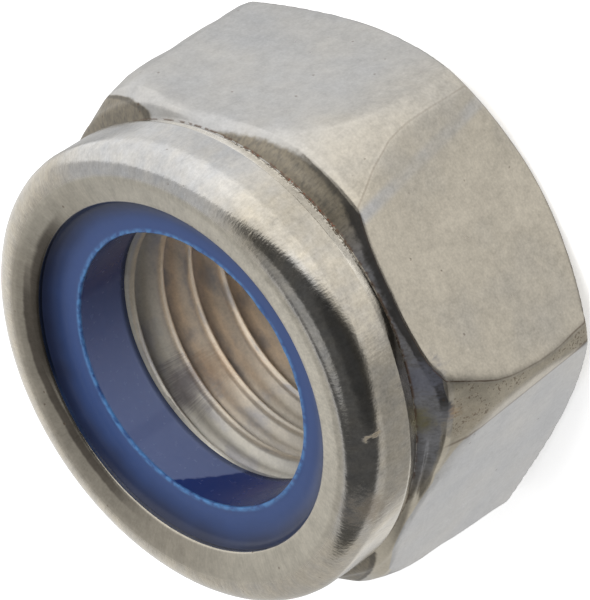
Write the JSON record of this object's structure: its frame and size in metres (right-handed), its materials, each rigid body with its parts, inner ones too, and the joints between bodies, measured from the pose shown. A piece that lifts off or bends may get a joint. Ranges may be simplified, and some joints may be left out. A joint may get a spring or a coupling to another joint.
{
  "type": "nylon insert lock nut",
  "caption": "Hexagonal lock nut with a rolled round collar that holds a blue nylon ring, and a metric internal thread.",
  "frame": {"origin": "centre of the bearing face, on the thread axis", "axes": "+Z along the thread axis from the bearing face to the collar, X across two corners, Y across two flats"},
  "size_m": [0.0272, 0.024, 0.0157],
  "materials": {
    "stainless_steel": "cold-formed and tumbled stainless steel, bright with soft reflections and fine pits",
    "blue_nylon": "semi-gloss dyed nylon with a paler rim round its bore"
  },
  "bodies": {
    "root": {"nut_body": "stainless_steel", "nylon_insert": "blue_nylon"}
  },
  "joints": []
}
